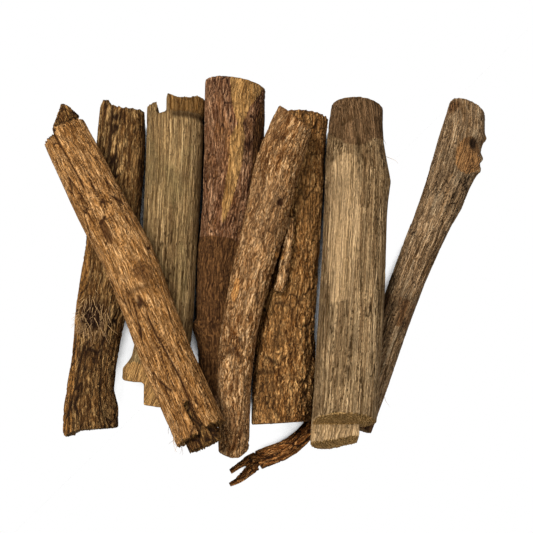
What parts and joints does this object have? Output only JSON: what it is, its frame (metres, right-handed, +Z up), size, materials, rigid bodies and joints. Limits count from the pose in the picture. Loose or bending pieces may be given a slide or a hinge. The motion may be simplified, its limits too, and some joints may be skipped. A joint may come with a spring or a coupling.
{
  "type": "bundle of firewood sticks",
  "caption": "Loose untied bundle of short weathered firewood sticks lying across one another, with a small forked root.",
  "frame": {"origin": "middle of the bundle's footprint, on the surface it lies on", "axes": "+Z up, +Y towards the heads of the sticks, +X across the bundle towards the leaning stick"},
  "size_m": [0.3554, 0.3282, 0.0885],
  "materials": {
    "dark_bark": "rough dark brown bark with grey plates",
    "peeled_wood": "bare grey-olive wood with fine straight fibres",
    "purple_bark": "thin purple-brown bark with tan patches",
    "golden_bark": "deeply furrowed golden-brown bark",
    "grey_wood": "weathered grey-tan wood with fine grain",
    "heartwood": "broken fibrous heartwood",
    "orange_bark": "orange-tan bark with long dark cracks",
    "tan_bark": "pinkish tan bark with wavy ridges",
    "grey_brown_bark": "smooth grey-brown bark with dark patches",
    "root_bark": "reddish-brown root bark"
  },
  "bodies": {
    "root": {"stubbed_stick": "dark_bark", "peeled_stick": "peeled_wood", "burl_stick": "purple_bark", "rough_bark_stick": "golden_bark", "notched_log": "grey_wood", "split_log_core": "heartwood", "split_log_bark_left": "orange_bark", "split_log_bark_right": "orange_bark", "bent_stick": "tan_bark", "bent_stick_side_branch": "tan_bark", "leaning_stick": "grey_brown_bark", "root_stem": "root_bark", "root_long_finger": "root_bark", "root_short_finger": "root_bark"}
  },
  "joints": []
}
